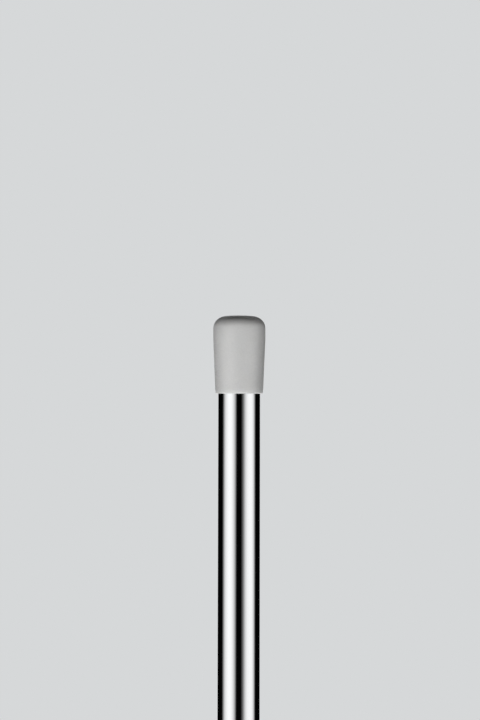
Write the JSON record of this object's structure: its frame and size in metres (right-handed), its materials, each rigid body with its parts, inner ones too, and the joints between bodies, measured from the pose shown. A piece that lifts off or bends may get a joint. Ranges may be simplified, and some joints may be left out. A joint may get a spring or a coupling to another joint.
{
  "type": "telescopic white cane",
  "caption": "Telescopic white cane with a moulded grip, twist-lock tube sections, guide collars, a bare polished tip section and a slip-on plastic tip; pulled out and locked.",
  "frame": {"origin": "on the cane's axis, at the middle of the grip, where the hand closes", "axes": "+Z along the shaft from the grip to the tip; +X out of the flat on the grip"},
  "size_m": [0.0262, 0.0262, 1.1679],
  "materials": {
    "white_paint": "satin",
    "polished_tube": "polished",
    "pale_nylon": "satin",
    "grip_rubber": "matte",
    "black_nylon": "satin",
    "grey_nylon": "satin",
    "zinc_steel": "satin",
    "turned_brass": "satin"
  },
  "bodies": {
    "handle": {"handle_tube": "white_paint", "grip_sleeve": "grip_rubber", "grip_ring": "black_nylon", "butt_cap": "black_nylon", "strap_eye": "zinc_steel", "strap_eye_washer": "zinc_steel", "strap_eye_nut": "zinc_steel", "mouth_collar_1": "black_nylon"},
    "lock_1_gripping": {"lock_1_expander": "black_nylon"},
    "lock_1_drawn": {"lock_1_cone_nut": "turned_brass"},
    "second_section": {"second_tube": "white_paint", "mouth_collar_2": "black_nylon", "lock_1_plug": "grey_nylon", "lock_1_stud": "zinc_steel", "lock_1_stop_nut": "zinc_steel"},
    "lock_2_gripping": {"lock_2_expander": "black_nylon"},
    "lock_2_drawn": {"lock_2_cone_nut": "turned_brass"},
    "third_section": {"third_tube": "white_paint", "mouth_collar_3": "black_nylon", "lock_2_plug": "grey_nylon", "lock_2_stud": "zinc_steel", "lock_2_stop_nut": "zinc_steel"},
    "lock_3_gripping": {"lock_3_expander": "black_nylon"},
    "lock_3_drawn": {"lock_3_cone_nut": "turned_brass"},
    "tip_section": {"tip_tube": "polished_tube", "tip_insert": "grey_nylon", "tip_cap": "pale_nylon", "lock_3_plug": "grey_nylon", "lock_3_stud": "zinc_steel", "lock_3_stop_nut": "zinc_steel"}
  },
  "joints": [
    {"name": "second_section_slide", "type": "slide", "parent": "handle", "child": "lock_1_gripping", "axis": [0, 0, -1], "range_m": [0, 0.2699]},
    {"name": "second_section_twist", "type": "hinge", "parent": "lock_1_gripping", "child": "second_section", "pos_m": [0, 0, 0.2081], "axis": [0, 0, 1], "range_deg": [0, 360]},
    {"name": "lock_1_release", "type": "slide", "parent": "lock_1_gripping", "child": "lock_1_drawn", "axis": [0, 0, -1], "range_m": [0, 0.0008]},
    {"name": "third_section_slide", "type": "slide", "parent": "second_section", "child": "lock_2_gripping", "axis": [0, 0, -1], "range_m": [0, 0.2421]},
    {"name": "third_section_twist", "type": "hinge", "parent": "lock_2_gripping", "child": "third_section", "pos_m": [0, 0, 0.4929], "axis": [0, 0, 1], "range_deg": [0, 360]},
    {"name": "lock_2_release", "type": "slide", "parent": "lock_2_gripping", "child": "lock_2_drawn", "axis": [0, 0, -1], "range_m": [0, 0.0008]},
    {"name": "tip_section_slide", "type": "slide", "parent": "third_section", "child": "lock_3_gripping", "axis": [0, 0, -1], "range_m": [0, 0.2143]},
    {"name": "tip_section_twist", "type": "hinge", "parent": "lock_3_gripping", "child": "tip_section", "pos_m": [0, 0, 0.7499], "axis": [0, 0, 1], "range_deg": [0, 360]},
    {"name": "lock_3_release", "type": "slide", "parent": "lock_3_gripping", "child": "lock_3_drawn", "axis": [0, 0, -1], "range_m": [0, 0.0008]}
  ],
  "couplings": [
    {"joint": "lock_1_release", "follows": "second_section_twist", "m_per_rad": 0.00012732},
    {"joint": "lock_2_release", "follows": "third_section_twist", "m_per_rad": 0.00012732},
    {"joint": "lock_3_release", "follows": "tip_section_twist", "m_per_rad": 0.00012732}
  ]
}
